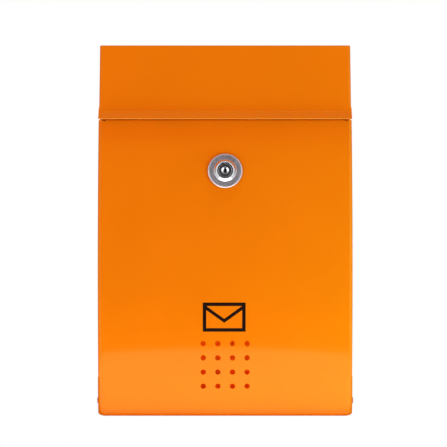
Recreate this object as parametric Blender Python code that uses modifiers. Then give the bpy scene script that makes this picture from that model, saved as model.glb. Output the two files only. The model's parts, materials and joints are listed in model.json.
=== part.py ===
"""A wall mailbox in folded sheet steel, with a lifting lid, a bottom-hinged door and a cam lock.

Frame: the front faces -Y, +X is to the right, +Z is up, and the origin is the centre of the
underside. Metres. "Reach" is a distance forward from the wall plane, so y = DEPTH / 2 - reach.
"""
import math

import bmesh
import bpy
from mathutils import Matrix, Vector

# Overall sizes
WIDTH = 0.215  # across the door's hinge ears
HEIGHT = 0.315
DEPTH = 0.088  # wall plane to the crest of the door

# Sheet and fits
SHEET = 0.0008
GAP = 0.0003  # between touching pieces
PLAY = 0.0004  # between parts that slide past each other
SIDE_PLAY = 0.0006  # between the side sheets and the inside of the door's folds
MERGE = 0.00001
STEPS = 48  # facets of a turned lock piece
SMALL_STEPS = 16  # facets of a rivet, a pin or a small hole
BEND_STEPS = 4  # facets of a fold
SIDE_ROWS = 22  # facets of the side sheets' front edge

# Door
EAR_PROUD = 0.0004  # the hinge ears stand out from the door's sides
EAR_HEIGHT = 0.031
EAR_BEND = 0.0054
EAR_DEPTH = 0.022
EAR_CORNER = 0.0015
EAR_BLEND = 0.002  # height over which the ears step in to the plain sides
DOOR_BEND = 0.0033
DOOR_RETURN = 0.012
DOOR_BULGE = 0.0185
DOOR_LIFT = 0.0006  # underside of the door above the underside of the box
DOOR_EDGE_BEND = 0.0015
DOOR_LIP = 0.0055
DOOR_FLANGE = 0.006
BEND_RELIEF = 0.0012
DOOR_ROWS = 11  # facets of the door's curve on each side of its crest
PIVOT_HEIGHT = 0.0136
PIVOT_SETBACK = 0.0072  # pivot behind the door's face
SWING_PLAY = 0.0012  # around the door's foot as it swings

# Holes in the door
HOLE_ROWS = 4
HOLE_PITCH = 0.0123
HOLE_RADIUS = 0.0023
HOLE_CENTRE_HEIGHT = 0.044

# Lid
LID_HEIGHT = 0.0633
LID_BEND = 0.0024
LID_TOP_BEND = 0.0012
LID_INSET = 0.0004  # the lid's cheeks inside the width of its lip
LID_TOP_SETBACK = 0.040  # lid's top front corner behind the crest of the door
LID_LIP_SETBACK = 0.0125
LIP_HEIGHT = 0.0062
LIP_RUN = 0.0085
LIP_CLEARANCE = 0.0007  # the outer edge of the lid's lip above the door
CHEEK_BELOW_TOP = 0.051
CHEEK_REAR_DROP = 0.024
CHEEK_DEPTH = 0.010

# Lid hinge
ROD_RADIUS = 0.0015
KNUCKLE_BORE = 0.0018
KNUCKLE_GAP = 0.0006

# Body
FLANGE = 0.012
BASE_FLANGE = 0.014
RAIL_HEIGHT = 0.023
RAIL_ABOVE_DOOR = 0.0065
RAIL_SETBACK = 0.0112  # rail behind the door's top edge
DRAIN_RADIUS = 0.003
DRAIN_PITCH = 0.045
KEYHOLE_RADIUS = 0.0048
KEYHOLE_SLOT = 0.0025
KEYHOLE_LENGTH = 0.009
WALL_HOLE_INSET = 0.0375  # from the sides of the box
WALL_HOLE_END = 0.030  # from the top and the bottom

# Fasteners and rubbers
RIVET_RADIUS = 0.0016
RIVET_HEAD_RADIUS = 0.0032
RIVET_HEAD = 0.0007
RIVET_TAIL = 0.0015
PIN_RADIUS = 0.002
PIN_HEAD_RADIUS = 0.0026
PIN_HEAD = 0.0004
BUMPER_RADIUS = 0.004
PAD_LENGTH = 0.012
PAD_WIDTH = 0.003
PAD_HEIGHT = 0.007

# Lock, measured along its axis from the face of the door
LOCK_DROP = 0.0436  # below the top of the door
ROSETTE_RADIUS = 0.0147
ROSETTE_THICK = 0.0012
ROSETTE_CHAMFER = 0.0012
ROSETTE_DROP = 0.0005  # the chamfer's fall at the rim
ROSETTE_CURVE = 0.0003  # the flat rosette stands clear of the curved door
HEAD_RADIUS = 0.0096
HEAD_THICK = 0.0024
HEAD_BEVEL = 0.0020
MOUTH_RADIUS = 0.0068
BARREL_RADIUS = 0.008
BARREL_LENGTH = 0.0175
BORE_RADIUS = 0.0061
PLUG_FACE = 0.0026
PLUG_CHAMFER = 0.0003
CONE_RADIUS = 0.0031  # recess that guides the key in
CONE_FLOOR = 0.0016
CONE_DEPTH = 0.0011
KEYWAY_WIDTH = 0.0015
KEYWAY_HEIGHT = 0.0056
KEYWAY_DEPTH = 0.0165
TAIL_RADIUS = 0.004
TAIL_FLAT = 0.0028  # half the width across the tail's two flats
WAFERS = 5
WAFER_START = 0.002
WAFER_PITCH = 0.0025
WAFER_THICK = 0.001
WAFER_WIDTH = 0.0046
WAFER_HEIGHT = 0.0102
NUT_FLATS = 0.022
NUT_THICK = 0.004
WASHER_RADIUS = 0.0122
WASHER_THICK = 0.0008
STOP_THICK = 0.0008
STOP_TAB = math.radians(30)
STOP_PLAY = math.radians(4)
LOCK_TURN = math.radians(90)
STOP_MIDDLE = math.radians(225)  # middle of the stop tab's travel, seen along the lock's axis
CAM_LENGTH = 0.040
CAM_WIDTH = 0.013
CAM_THICK = 0.002
SPRING_WASHER_THICK = 0.0007
SCREW_HEAD_RADIUS = 0.0045
SCREW_HEAD = 0.0025
SCREW_RADIUS = 0.0015
SCREW_DEPTH = 0.007
SCREW_SLOT = 0.0004  # half the width of the cross recess

# Worked out from the values above
DOOR_HALF = WIDTH / 2 - EAR_PROUD
LID_HALF = DOOR_HALF - LID_INSET
BODY_HALF = LID_HALF - SHEET - PLAY
INNER_HALF = BODY_HALF - SHEET
EDGE_HALF = WIDTH / 2 - EAR_BEND - BEND_RELIEF  # half the door's top flange and bottom lip
DOOR_TOP = HEIGHT - LID_HEIGHT - LIP_CLEARANCE
DOOR_MIDDLE = (DOOR_TOP + DOOR_LIFT) / 2
HALF_CHORD = (DOOR_TOP - DOOR_LIFT) / 2
DOOR_RADIUS = (HALF_CHORD**2 + DOOR_BULGE**2) / (2 * DOOR_BULGE)
KNUCKLE_RADIUS = KNUCKLE_BORE + SHEET
KNUCKLE_AXIS = (KNUCKLE_RADIUS, HEIGHT - KNUCKLE_RADIUS)
PANEL_START = 2 * KNUCKLE_RADIUS + KNUCKLE_GAP
CUTTER_REACH = 0.02

STEEL_ORANGE = ("orange_enamel", (0.86, 0.18, 0.01), 0.25, 0.0)
CHROME = ("chrome", (0.75, 0.75, 0.77), 0.12, 1.0)
SATIN_NICKEL = ("satin_nickel", (0.42, 0.40, 0.41), 0.38, 1.0)
ZINC = ("zinc_plated_steel", (0.55, 0.56, 0.58), 0.35, 1.0)
BRASS = ("brass", (0.66, 0.47, 0.20), 0.3, 1.0)
ALUMINIUM = ("aluminium", (0.60, 0.61, 0.63), 0.4, 1.0)
RUBBER = ("black_rubber", (0.02, 0.02, 0.02), 0.8, 0.0)

for leftover in list(bpy.data.objects):
    bpy.data.objects.remove(leftover, do_unlink=True)

parts = bpy.data.collections.new("mailbox")
cutters = bpy.data.collections.new("cutters")
bpy.context.scene.collection.children.link(parts)
bpy.context.scene.collection.children.link(cutters)


def place(x, reach, height):
    return Vector((x, DEPTH / 2 - reach, height))


def material(finish):
    name, colour, roughness, metallic = finish
    found = bpy.data.materials.get(name)
    if found:
        return found
    made = bpy.data.materials.new(name)
    made.use_nodes = True
    shader = made.node_tree.nodes["Principled BSDF"]
    shader.inputs["Base Color"].default_value = (*colour, 1.0)
    shader.inputs["Roughness"].default_value = roughness
    shader.inputs["Metallic"].default_value = metallic
    return made


def piece(name, bm, finish, parent=None):
    """One named part from a bmesh in the parent's frame, or in the world's."""
    mesh = bpy.data.meshes.new(name)
    bm.to_mesh(mesh)
    bm.free()
    mesh.materials.append(material(finish))
    made = bpy.data.objects.new(name, mesh)
    made.parent = parent
    parts.objects.link(made)
    return made


def cutter(name, bm, parent=None):
    mesh = bpy.data.meshes.new(name)
    bm.to_mesh(mesh)
    bm.free()
    made = bpy.data.objects.new(name, mesh)
    made.parent = parent
    made.hide_render = True
    made.display_type = "WIRE"
    cutters.objects.link(made)
    return made


def axis_empty(name, origin, tilt=0.0, parent=None):
    made = bpy.data.objects.new(name, None)
    made.parent = parent
    made.location = origin
    made.rotation_euler = (tilt, 0.0, 0.0)
    parts.objects.link(made)
    return made


def cut(target, *tools):
    for tool in tools:
        step = target.modifiers.new(tool.name, "BOOLEAN")
        step.operation = "DIFFERENCE"
        step.object = tool


def thicken(target):
    """The sheet lies behind the outer face that was drawn."""
    step = target.modifiers.new("sheet", "SOLIDIFY")
    step.thickness = SHEET
    step.offset = -1.0
    step.use_even_offset = True
    step.use_quality_normals = True


def cylinder(bm, start, end, radius, steps=SMALL_STEPS):
    start = Vector(start)
    span = Vector(end) - start
    turn = span.to_track_quat("Z", "Y").to_matrix().to_4x4()
    where = Matrix.Translation(start + span / 2) @ turn
    bmesh.ops.create_cone(bm, cap_ends=True, segments=steps, radius1=radius, radius2=radius,
                          depth=span.length, matrix=where)


def box(bm, low, high):
    low = Vector(low)
    high = Vector(high)
    scale = Matrix.Diagonal((*(high - low), 1.0))
    bmesh.ops.create_cube(bm, size=1.0, matrix=Matrix.Translation((low + high) / 2) @ scale)


def turned(name, profile, finish, parent=None, steps=STEPS):
    """A turned piece: (radius, height) pairs down the outer side, closed if it has a bore."""
    bm = bmesh.new()
    rings = [bm.verts.new((radius, 0.0, height)) for radius, height in profile]
    for start, end in zip(rings, rings[1:]):
        bm.edges.new((start, end))
    if profile[0][0] > 0:
        bm.edges.new((rings[-1], rings[0]))
    made = piece(name, bm, finish, parent)
    step = made.modifiers.new("turn", "SCREW")
    step.angle = math.tau
    step.steps = steps
    step.render_steps = steps
    step.use_merge_vertices = True
    step.merge_threshold = MERGE
    step.use_smooth_shade = True
    return made


def prism(bm, outline, low, high):
    """A flat outline of (x, y) pairs, anticlockwise, standing from low to high along Z."""
    base = [bm.verts.new((x, y, low)) for x, y in outline]
    face = bm.faces.new(list(reversed(base)))
    grown = bmesh.ops.extrude_face_region(bm, geom=[face])
    moved = [item for item in grown["geom"] if isinstance(item, bmesh.types.BMVert)]
    bmesh.ops.translate(bm, verts=moved, vec=(0.0, 0.0, high - low))
    bmesh.ops.recalc_face_normals(bm, faces=bm.faces)


def arc(centre, radius, start, end, count):
    """Points (a, b) on an arc, with both ends."""
    turns = [start + (end - start) * step / count for step in range(count + 1)]
    return [(centre[0] + radius * math.cos(turn), centre[1] + radius * math.sin(turn)) for turn in turns]


class Sheet:
    """A folded sheet's outer face, from rows along its profile and columns across it."""

    def __init__(self, spot):
        self.bm = bmesh.new()
        self.spot = spot
        self.corners = {}

    def corner(self, row, column):
        if (row, column) not in self.corners:
            self.corners[row, column] = self.bm.verts.new(self.spot(row, column))
        return self.corners[row, column]

    def patch(self, rows, columns):
        for low, high in zip(rows, rows[1:]):
            for left, right in zip(columns, columns[1:]):
                self.bm.faces.new((self.corner(low, left), self.corner(low, right),
                                   self.corner(high, right), self.corner(high, left)))


def mirrored(columns):
    """Columns given from the middle outwards on the right, completed from left to right."""
    left = [(-1, *column[1:]) for column in reversed(columns)]
    return left + columns


def set_back(row, depth):
    """The point of a row's profile, moved in behind the face by a depth."""
    reach, height, tilt = row
    return reach - depth * math.cos(tilt), height - depth * math.sin(tilt)


# Door: the profile is an arc, and a row is (reach, height, tilt of its outward normal)

def door_tilt(height):
    return math.asin((height - DOOR_MIDDLE) / DOOR_RADIUS)


def door_reach(height):
    return DEPTH - DOOR_RADIUS * (1 - math.cos(door_tilt(height)))


def door_row(height):
    return (door_reach(height), height, door_tilt(height))


def bend_rows(row, radius, end_tilt, run, count=4):
    """Rows of a bend that carries on from a row, and of the flat strip after it."""
    tilt = row[2]
    centre = set_back(row, radius)
    rows = []
    for step in range(1, count + 1):
        turn = tilt + (end_tilt - tilt) * step / count
        rows.append((centre[0] + radius * math.cos(turn), centre[1] + radius * math.sin(turn), turn))
    reach, height, turn = rows[-1]
    rows.append((reach - run, height, turn))
    return rows


def ear_share(height):
    """0 on the plain side of the door, 1 on a hinge ear."""
    return min(1.0, max(0.0, (DOOR_LIFT + EAR_HEIGHT + EAR_BLEND - height) / (EAR_BLEND)))


def blend(low, high, share):
    return low + (high - low) * share


def door_spot(row, column):
    height = row[1]
    side, kind, step = column
    share = ear_share(height)
    half = DOOR_HALF + EAR_PROUD * share
    radius = blend(DOOR_BEND, EAR_BEND, share)
    above = height - DOOR_LIFT
    if kind != "edge" and above < EAR_CORNER:
        half -= EAR_CORNER - math.sqrt(max(0.0, EAR_CORNER**2 - (EAR_CORNER - above) ** 2))
    if kind == "edge":
        return place(side * EDGE_HALF, *set_back(row, 0.0))
    turn = math.pi / 2 * step / BEND_STEPS
    if kind == "bend":
        x = half - radius + radius * math.sin(turn)
        return place(side * x, *set_back(row, radius * (1 - math.cos(turn))))
    return place(side * half, *set_back(row, blend(DOOR_RETURN, EAR_DEPTH, share)))


PIVOT = (door_reach(PIVOT_HEIGHT) - PIVOT_SETBACK, PIVOT_HEIGHT)


def lock_frame():
    height = DOOR_TOP - LOCK_DROP
    return place(0.0, door_reach(height), height), math.pi / 2 - door_tilt(height)


def make_door(parent, lock):
    """The curved front, its side returns and hinge ears, top flange and bottom lip, and its holes."""
    low_tilt = door_tilt(DOOR_LIFT)
    high_tilt = door_tilt(DOOR_TOP)
    low = DOOR_LIFT + DOOR_EDGE_BEND * (1 + math.sin(low_tilt))
    high = DOOR_TOP - DOOR_EDGE_BEND * (1 - math.sin(high_tilt))
    ear_top = DOOR_LIFT + EAR_HEIGHT
    heights = [low, blend(low, ear_top, 0.5), ear_top, ear_top + EAR_BLEND]
    upper = heights[-1]
    heights += [blend(upper, DOOR_MIDDLE, step / DOOR_ROWS) for step in range(1, DOOR_ROWS + 1)]
    heights += [blend(DOOR_MIDDLE, high, step / DOOR_ROWS) for step in range(1, DOOR_ROWS + 1)]
    rows = [door_row(height) for height in heights]
    tail = [door_row(blend(low, DOOR_LIFT, share)) for share in (0.35, 0.7, 0.9, 1.0)]
    head = [door_row(blend(high, DOOR_TOP, share)) for share in (0.5, 1.0)]
    lip = bend_rows(rows[0], DOOR_EDGE_BEND, -math.pi / 2, DOOR_LIP)
    flange = bend_rows(rows[-1], DOOR_EDGE_BEND, math.pi / 2, DOOR_FLANGE)
    bends = [(1, "bend", step) for step in range(BEND_STEPS + 1)]
    columns = mirrored([(1, "edge", 0), *bends, (1, "return", 0)])
    sheet = Sheet(lambda row, column: door_spot(row, column) - parent.location)
    sheet.patch(rows, columns)
    sheet.patch([rows[-1], *flange], [(-1, "edge", 0), (1, "edge", 0)])
    sheet.patch([*reversed(lip), rows[0]], [(-1, "edge", 0), (1, "edge", 0)])
    sheet.patch([rows[-1], *head], bends)
    sheet.patch([rows[-1], *head], [(-1, kind, step) for _, kind, step in reversed(bends)])
    sheet.patch([*reversed(tail), rows[0]], bends)
    sheet.patch([*reversed(tail), rows[0]], [(-1, kind, step) for _, kind, step in reversed(bends)])
    door = piece("door_panel", sheet.bm, STEEL_ORANGE, parent)
    thicken(door)

    holes = bmesh.new()
    centre_turn = door_tilt(HOLE_CENTRE_HEIGHT)
    offsets = [(index - (HOLE_ROWS - 1) / 2) * HOLE_PITCH for index in range(HOLE_ROWS)]
    for rise in offsets:
        row = door_row(DOOR_MIDDLE + DOOR_RADIUS * math.sin(centre_turn + rise / DOOR_RADIUS))
        for x in offsets:
            front = place(x, *set_back(row, -CUTTER_REACH / 4))
            back = place(x, *set_back(row, CUTTER_REACH / 4))
            cylinder(holes, front - parent.location, back - parent.location, HOLE_RADIUS)
    lock_hole = bmesh.new()
    cylinder(lock_hole, (0, 0, -CUTTER_REACH / 2), (0, 0, CUTTER_REACH / 2), BARREL_RADIUS + GAP, STEPS)
    pivots = bmesh.new()
    cylinder(pivots, (-WIDTH, 0, 0), (WIDTH, 0, 0), PIN_RADIUS + GAP)
    cut(door, cutter("door_holes", holes, parent), cutter("lock_hole", lock_hole, lock),
        cutter("pivot_holes", pivots, parent))


# Lid: rolled knuckles, top panel, front slope and flared lip

def slope_ends():
    """The lid's front corner at the top, and the crease above its lip."""
    top = (DEPTH - LID_TOP_SETBACK, HEIGHT)
    lip = (DEPTH - LID_LIP_SETBACK, HEIGHT - LID_HEIGHT)
    return top, (lip[0] - LIP_RUN, lip[1] + LIP_HEIGHT), lip


def line_tilt(start, end):
    """Tilt of the outward normal of a line that goes down and forward."""
    return math.atan2(end[0] - start[0], start[1] - end[1])


LID_TOP, LID_CREASE, LID_EDGE = slope_ends()
SLOPE_TILT = line_tilt(LID_TOP, LID_CREASE)
LIP_TILT = line_tilt(LID_CREASE, LID_EDGE)


def slope_point(height):
    share = (LID_TOP[1] - height) / (LID_TOP[1] - LID_CREASE[1])
    return (blend(LID_TOP[0], LID_CREASE[0], share), height, SLOPE_TILT)


def lid_rows():
    """Knuckle rows, top rows and front rows, from the back of the lid to its lip."""
    reach, height = KNUCKLE_AXIS
    turns = [math.tau + math.radians(-20) - math.radians(290) * step / 12 for step in range(13)]
    roll = []
    for turn in turns:
        roll.append((reach + KNUCKLE_RADIUS * math.cos(turn), height + KNUCKLE_RADIUS * math.sin(turn), turn))
    tangent = LID_BEND * math.tan((math.pi / 2 - SLOPE_TILT) / 2)
    centre = (LID_TOP[0] - tangent, HEIGHT - LID_BEND)
    bend = []
    for step in range(BEND_STEPS + 1):
        turn = blend(math.pi / 2, SLOPE_TILT, step / BEND_STEPS)
        bend.append((centre[0] + LID_BEND * math.cos(turn), centre[1] + LID_BEND * math.sin(turn), turn))
    top = [(PANEL_START, HEIGHT, math.pi / 2), *bend]
    cheek_end = HEIGHT - CHEEK_BELOW_TOP
    front = [slope_point(blend(bend[-1][1], cheek_end, 0.5)), slope_point(cheek_end)]
    front.append(slope_point(blend(cheek_end, LID_CREASE[1], 0.7)))
    crease = (*LID_CREASE, (SLOPE_TILT + LIP_TILT) / 2)
    return roll, top, front, [crease, (*LID_EDGE, LIP_TILT)]


def knuckle_spans():
    """Two lid knuckles between three body knuckles, as (start, end) across the hinge."""
    edges = [INNER_HALF - PLAY, INNER_HALF * 2 / 3, INNER_HALF / 5]
    outer = (edges[1] + KNUCKLE_GAP / 2, edges[0])
    inner = (edges[2] + KNUCKLE_GAP / 2, edges[1] - KNUCKLE_GAP / 2)
    middle = edges[2] - KNUCKLE_GAP / 2
    return outer, inner, middle


def lid_fold(tilt):
    """Radius of the fold to the cheeks: tighter along the top than down the slope."""
    return blend(LID_BEND, LID_TOP_BEND, max(0.0, (tilt - SLOPE_TILT) / (math.pi / 2 - SLOPE_TILT)))


def make_lid(parent):
    roll, top, front, lip = lid_rows()
    inner = knuckle_spans()[1]
    cheek_end = front[1][1]

    def spot(row, column):
        height = row[1]
        side, kind, value = column
        if kind == "span":
            return place(side * value, *set_back(row, 0.0)) - parent.location
        fold = min(1.0, max(0.0, (height - LID_CREASE[1]) / (cheek_end - LID_CREASE[1])))
        half = blend(DOOR_HALF, LID_HALF, fold)
        radius = lid_fold(row[2])
        turn = math.pi / 2 * value / BEND_STEPS
        x = half - radius + radius * math.sin(turn)
        depth = radius * (1 - math.cos(turn)) * fold
        return place(side * x, *set_back(row, depth)) - parent.location

    sheet = Sheet(spot)
    bends = [(1, "bend", step) for step in range(BEND_STEPS + 1)]
    spans = [(1, "span", inner[0]), (1, "span", inner[1])]
    columns = mirrored([*spans, *bends])
    sheet.patch([*top, *front, *lip], columns)
    rolled = [*roll, top[0]]
    sheet.patch(rolled, spans)
    sheet.patch(rolled, [(-1, *span[1:]) for span in reversed(spans)])
    for side in (-1, 1):
        ends = [sheet.corner(row, (side, "bend", BEND_STEPS)) for row in [*top, *front[:2]]]
        skirt = [set_back(front[1], CHEEK_DEPTH), (PANEL_START, HEIGHT - CHEEK_REAR_DROP)]
        low = [sheet.bm.verts.new(place(side * LID_HALF, *spot_2d) - parent.location) for spot_2d in skirt]
        outline = [*ends, *low]
        sheet.bm.faces.new(outline if side < 0 else list(reversed(outline)))
    bmesh.ops.recalc_face_normals(sheet.bm, faces=sheet.bm.faces)
    if sheet.bm.faces[:][0].normal.z < 0:
        bmesh.ops.reverse_faces(sheet.bm, faces=sheet.bm.faces)
    thicken(piece("lid_panel", sheet.bm, STEEL_ORANGE, parent))


# Body

def make_back():
    """The back sheet, its rolled knuckles, and the keyholes and holes for wall screws."""
    outer, _, middle = knuckle_spans()
    reach, height = KNUCKLE_AXIS
    turns = [math.pi - math.radians(260) * step / 12 for step in range(13)]
    roll = [(reach + KNUCKLE_RADIUS * math.cos(t), height + KNUCKLE_RADIUS * math.sin(t), t) for t in turns]
    shoulder = height - KNUCKLE_RADIUS - KNUCKLE_GAP
    rows = [(0.0, 0.0, math.pi), (0.0, shoulder, math.pi)]
    edges = [-BODY_HALF, -outer[1], -outer[0], -middle, middle, outer[0], outer[1], BODY_HALF]
    sheet = Sheet(lambda row, x: place(x, *set_back(row, 0.0)))
    sheet.patch(rows, edges)
    for start, end in ((-outer[1], -outer[0]), (-middle, middle), (outer[0], outer[1])):
        sheet.patch([rows[-1], *roll], [start, end])
    bmesh.ops.reverse_faces(sheet.bm, faces=sheet.bm.faces)
    back = piece("back_panel", sheet.bm, STEEL_ORANGE)
    thicken(back)

    tools = bmesh.new()
    for side in (-1, 1):
        x = side * (BODY_HALF - WALL_HOLE_INSET)
        upper = HEIGHT - WALL_HOLE_END - KEYHOLE_LENGTH
        cylinder(tools, place(x, -SHEET, upper), place(x, SHEET * 2, upper), KEYHOLE_RADIUS, 24)
        cylinder(tools, place(x, -SHEET, WALL_HOLE_END), place(x, SHEET * 2, WALL_HOLE_END), KEYHOLE_SLOT, 24)
    slots = bmesh.new()
    for side in (-1, 1):
        x = side * (BODY_HALF - WALL_HOLE_INSET)
        upper = HEIGHT - WALL_HOLE_END - KEYHOLE_LENGTH
        box(slots, place(x - KEYHOLE_SLOT, SHEET * 2, upper),
            place(x + KEYHOLE_SLOT, -SHEET, upper + KEYHOLE_LENGTH))
    cut(back, cutter("wall_holes", tools), cutter("keyhole_slots", slots))


def bend_clearance(share):
    """How far behind the door's face the side sheets stop, to clear the inside of its side bend."""
    radius = blend(DOOR_BEND, EAR_BEND, share)
    across = BODY_HALF - (DOOR_HALF + EAR_PROUD * share - radius)
    return radius - math.sqrt((radius - SHEET) ** 2 - across**2) + SIDE_PLAY


def foot_room():
    """Reach that the fixed sheets stop at, so that the door's foot can swing back past them."""
    swing = math.hypot(door_reach(DOOR_LIFT) - PIVOT[0], PIVOT_HEIGHT - DOOR_LIFT)
    return PIVOT[0] - swing - SWING_PLAY


def make_sides():
    """The side sheets, which carry the door's pivots and the ends of the lid's hinge rod."""
    clear = SHEET + PLAY * 2
    notch = foot_room()
    rear = SHEET + GAP
    boss = PIVOT_SETBACK - bend_clearance(1.0)
    outline = [(rear, 0.0), (notch, 0.0), (notch, PIVOT_HEIGHT + boss)]
    outline += arc(PIVOT, boss, math.radians(-135), 0.0, 6)
    low = PIVOT_HEIGHT + boss
    high = DOOR_TOP - DOOR_EDGE_BEND
    for step in range(SIDE_ROWS + 1):
        row = door_row(blend(low, high, step / SIDE_ROWS))
        outline.append(set_back(row, bend_clearance(ear_share(row[1] - EAR_BLEND))))
    outline.append(set_back(slope_point(LID_CREASE[1] + PLAY), clear + PLAY))
    outline.append(set_back(slope_point(HEIGHT - LID_BEND * 1.5), clear + PLAY))
    shoulder = HEIGHT - SHEET - PLAY * 4
    outline += [(LID_TOP[0] - LID_BEND - clear, shoulder), (PANEL_START + PLAY, shoulder), (rear, shoulder)]
    for side, name in ((-1, "side_panel_left"), (1, "side_panel_right")):
        bm = bmesh.new()
        face = bm.faces.new([bm.verts.new(place(side * BODY_HALF, *spot)) for spot in outline])
        rear_edge = face.edges[-1]
        if side < 0:
            face.normal_flip()
        corners = [place(side * BODY_HALF, rear, FLANGE), place(side * BODY_HALF, rear, shoulder - FLANGE)]
        split = bmesh.ops.subdivide_edges(bm, edges=[rear_edge], cuts=2)
        middle = [vert for vert in split["geom_inner"] if isinstance(vert, bmesh.types.BMVert)]
        middle.sort(key=lambda vert: vert.co.z)
        for vert, corner in zip(middle, corners):
            vert.co = corner
        inward = Vector((-side * FLANGE, 0.0, 0.0))
        flange = [bm.verts.new(vert.co + inward) for vert in middle]
        bm.faces.new([middle[0], middle[1], flange[1], flange[0]] if side > 0 else
                     [middle[1], middle[0], flange[0], flange[1]])
        bmesh.ops.recalc_face_normals(bm, faces=bm.faces)
        if bm.faces[:][0].normal.x * side < 0:
            bmesh.ops.reverse_faces(bm, faces=bm.faces)
        panel = piece(name, bm, STEEL_ORANGE)
        thicken(panel)
        holes = bmesh.new()
        inside = side * (INNER_HALF - SHEET)
        outside = side * (BODY_HALF + SHEET)
        sizes = ((PIN_RADIUS, [PIVOT]), (RIVET_RADIUS, rivet_spots()), (ROD_RADIUS, [KNUCKLE_AXIS]))
        for radius, spots in sizes:
            for spot in spots:
                cylinder(holes, place(inside, *spot), place(outside, *spot), radius + GAP)
        cut(panel, cutter(name + "_holes", holes))


def rail_reach():
    return door_reach(DOOR_TOP) - RAIL_SETBACK


def rail_top():
    return DOOR_TOP + RAIL_ABOVE_DOOR


def base_front():
    return foot_room() - PLAY


def rail_rivet_spots():
    reach = rail_reach() - FLANGE / 2
    return [(reach, rail_top() - RAIL_HEIGHT * share) for share in (0.3, 0.75)]


def base_rivet_spots():
    front = base_front()
    return [(front * share, BASE_FLANGE * 0.6) for share in (0.25, 0.75)]


def rivet_spots():
    return [*rail_rivet_spots(), *base_rivet_spots()]


def make_base():
    """The bottom tray, with its four flanges turned up and its drain holes."""
    half = INNER_HALF - GAP
    rear = SHEET * 2 + GAP * 2
    front = base_front()
    bm = bmesh.new()
    box(bm, place(-half, front, 0.0), place(half, rear, BASE_FLANGE))
    bmesh.ops.delete(bm, geom=[face for face in bm.faces if face.normal.z > 0.5], context="FACES_ONLY")
    base = piece("base_tray", bm, STEEL_ORANGE)
    thicken(base)
    tools = bmesh.new()
    middle = (rear + front) / 2
    for index in range(-1, 2):
        x = index * DRAIN_PITCH
        cylinder(tools, place(x, middle, -SHEET), place(x, middle, SHEET * 2), DRAIN_RADIUS)
    for x in (-half, half):
        for spot in base_rivet_spots():
            inner = math.copysign(half - SHEET * 2, x)
            outer = math.copysign(half + SHEET, x)
            cylinder(tools, place(inner, *spot), place(outer, *spot), RIVET_RADIUS + GAP)
    cut(base, cutter("base_holes", tools))


def make_rail():
    """The cross rail behind the door's top edge: sill of the mail slot, and what the cam locks behind."""
    half = INNER_HALF - GAP
    reach = rail_reach()
    top = rail_top()
    bm = bmesh.new()
    box(bm, place(-half, reach, top - RAIL_HEIGHT), place(half, reach - FLANGE, top))
    gone = [face for face in bm.faces if face.normal.z < -0.5 or face.normal.y > 0.5]
    bmesh.ops.delete(bm, geom=gone, context="FACES_ONLY")
    rail = piece("slot_rail", bm, STEEL_ORANGE)
    thicken(rail)
    tools = bmesh.new()
    for x in (-half, half):
        for spot in rail_rivet_spots():
            inner = math.copysign(half - SHEET * 2, x)
            outer = math.copysign(half + SHEET, x)
            cylinder(tools, place(inner, *spot), place(outer, *spot), RIVET_RADIUS + GAP)
    cut(rail, cutter("rail_holes", tools))


def headed_pin(bm, side, spot, radius, outer, head_radius, head, inner, tail_radius, tail):
    """A pin along X: a head outside, a shank, and a formed tail inside."""
    profile = [(0.0, outer + head), (head_radius * 0.7, outer + head), (head_radius, outer + head * 0.4),
               (head_radius, outer), (radius, outer), (radius, inner), (tail_radius, inner),
               (tail_radius, inner - tail), (0.0, inner - tail)]
    rings = []
    for ring_radius, x in profile:
        count = 1 if ring_radius == 0.0 else SMALL_STEPS
        ring = []
        for step in range(count):
            turn = math.tau * step / SMALL_STEPS
            across = (spot[0] + ring_radius * math.cos(turn), spot[1] + ring_radius * math.sin(turn))
            ring.append(bm.verts.new(place(side * x, *across)))
        rings.append(ring)
    for ring, after in zip(rings, rings[1:]):
        for step in range(SMALL_STEPS):
            follow = (step + 1) % SMALL_STEPS
            corners = [ring[step % len(ring)], ring[follow % len(ring)],
                       after[follow % len(after)], after[step % len(after)]]
            bm.faces.new(list(dict.fromkeys(corners)))
    bmesh.ops.recalc_face_normals(bm, faces=bm.faces)


def make_fasteners():
    outer = BODY_HALF + GAP
    inner = INNER_HALF - GAP - SHEET - GAP
    for kind, spots in (("rail_rivet", rail_rivet_spots()), ("base_rivet", base_rivet_spots())):
        for side, hand in ((-1, "left"), (1, "right")):
            for index, spot in enumerate(spots, 1):
                bm = bmesh.new()
                headed_pin(bm, side, spot, RIVET_RADIUS, outer, RIVET_HEAD_RADIUS, RIVET_HEAD,
                           inner, RIVET_RADIUS * 1.4, RIVET_TAIL)
                piece(f"{kind}_{hand}_{index}", bm, ALUMINIUM)
    for side, hand in ((-1, "left"), (1, "right")):
        bm = bmesh.new()
        headed_pin(bm, side, PIVOT, PIN_RADIUS, WIDTH / 2 + GAP, PIN_HEAD_RADIUS, PIN_HEAD,
                   INNER_HALF - GAP, PIN_RADIUS * 1.5, SHEET)
        piece(f"door_pin_{hand}", bm, STEEL_ORANGE)
    rod = bmesh.new()
    cylinder(rod, place(-BODY_HALF, *KNUCKLE_AXIS), place(BODY_HALF, *KNUCKLE_AXIS), ROD_RADIUS)
    piece("lid_hinge_rod", rod, ZINC)


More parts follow.
